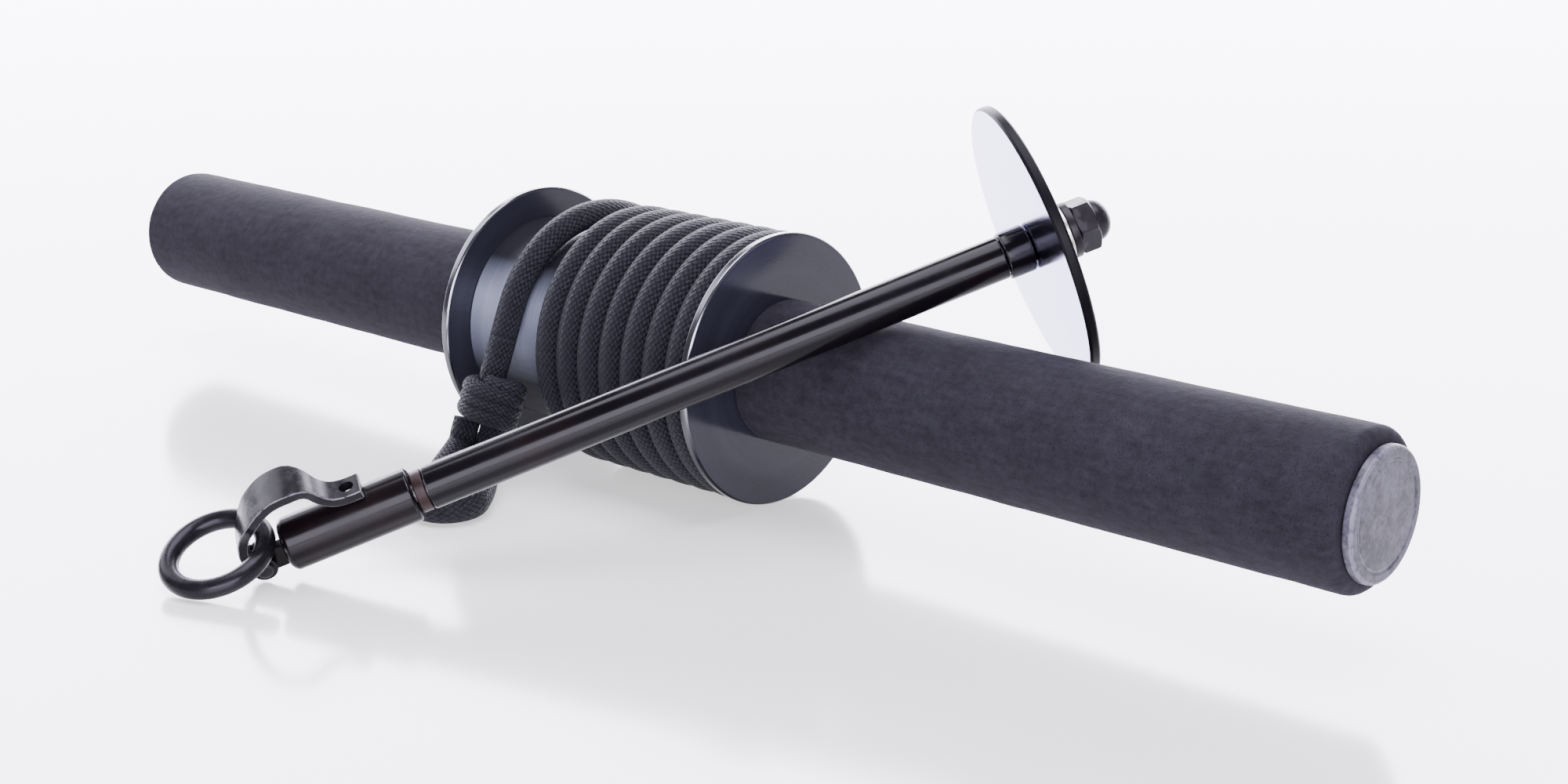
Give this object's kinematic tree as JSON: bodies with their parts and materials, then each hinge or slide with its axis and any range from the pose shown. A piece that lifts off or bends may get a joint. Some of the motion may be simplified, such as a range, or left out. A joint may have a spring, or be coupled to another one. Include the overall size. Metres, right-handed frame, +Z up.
{
  "type": "wrist trainer",
  "caption": "Foam-gripped roller with a cord wound on its central spool and a loose weight post lying across it, ending in a swivel jaw with a ring.",
  "frame": {"origin": "on the surface the part stands on, under the middle of its box without the cord's free end", "axes": "+X along the roller to the end beside the weight post, +Y away from the post's jaw, +Z up"},
  "size_m": [0.4682, 0.2114, 0.1154],
  "materials": {
    "axle_steel": "bare steel",
    "drum_grey": "smooth grey core",
    "flange_dark": "dark satin faces with a bright turned rim",
    "grip_foam": "matt closed-cell foam",
    "end_plug": "light grey, fine mottled",
    "cord_black": "black braid",
    "post_black": "gloss black",
    "disc_polished": "mirror polished, slightly blue",
    "washer_zinc": "pale zinc plate",
    "hardware_dark": "black oxide",
    "neck_bronze": "dull brown bronze",
    "strap_dark": "gloss black with worn pale edges",
    "ring_steel": "dark satin steel"
  },
  "bodies": {
    "roller": {"axle_tube": "axle_steel", "spool_drum": "drum_grey", "flange_left": "flange_dark", "flange_right": "flange_dark", "grip_left": "grip_foam", "grip_right": "grip_foam", "end_plug_left": "end_plug", "end_plug_right": "end_plug", "cord_anchor": "axle_steel", "cord_winding": "cord_black", "cord_lead": "cord_black", "cord_knot": "cord_black", "cord_eye": "cord_black"},
    "post": {"post_bar": "post_black", "post_collar": "post_black", "plate_disc": "disc_polished", "disc_spacer": "post_black", "plain_washer": "washer_zinc", "lock_washer": "hardware_dark", "dome_nut": "hardware_dark", "swivel_pin": "axle_steel"},
    "head": {"neck_ring": "neck_bronze", "swivel_barrel": "post_black", "jaw_pin": "hardware_dark"},
    "jaw": {"strap_jaw": "strap_dark"},
    "ring": {"ring": "ring_steel"}
  },
  "joints": [
    {"name": "post_lift", "type": "slide", "parent": "roller", "child": "post", "axis": [0, 0, 1], "range_m": [0, 0.08]},
    {"name": "head_swivel", "type": "hinge", "parent": "post", "child": "head", "pos_m": [0.01805, -0.04738, 0.02156], "axis": [-0.5707, -0.748, -0.3387], "continuous": true},
    {"name": "jaw_hinge", "type": "hinge", "parent": "head", "child": "jaw", "pos_m": [-0.00811, -0.08071, 0.00462], "axis": [0.8174, -0.4779, -0.3218], "range_deg": [0, 70]},
    {"name": "ring_swing", "type": "hinge", "parent": "jaw", "child": "ring", "pos_m": [-0.0057, -0.08155, 0.01199], "axis": [0.8429, -0.4196, -0.3368], "range_deg": [-75, 75]}
  ]
}
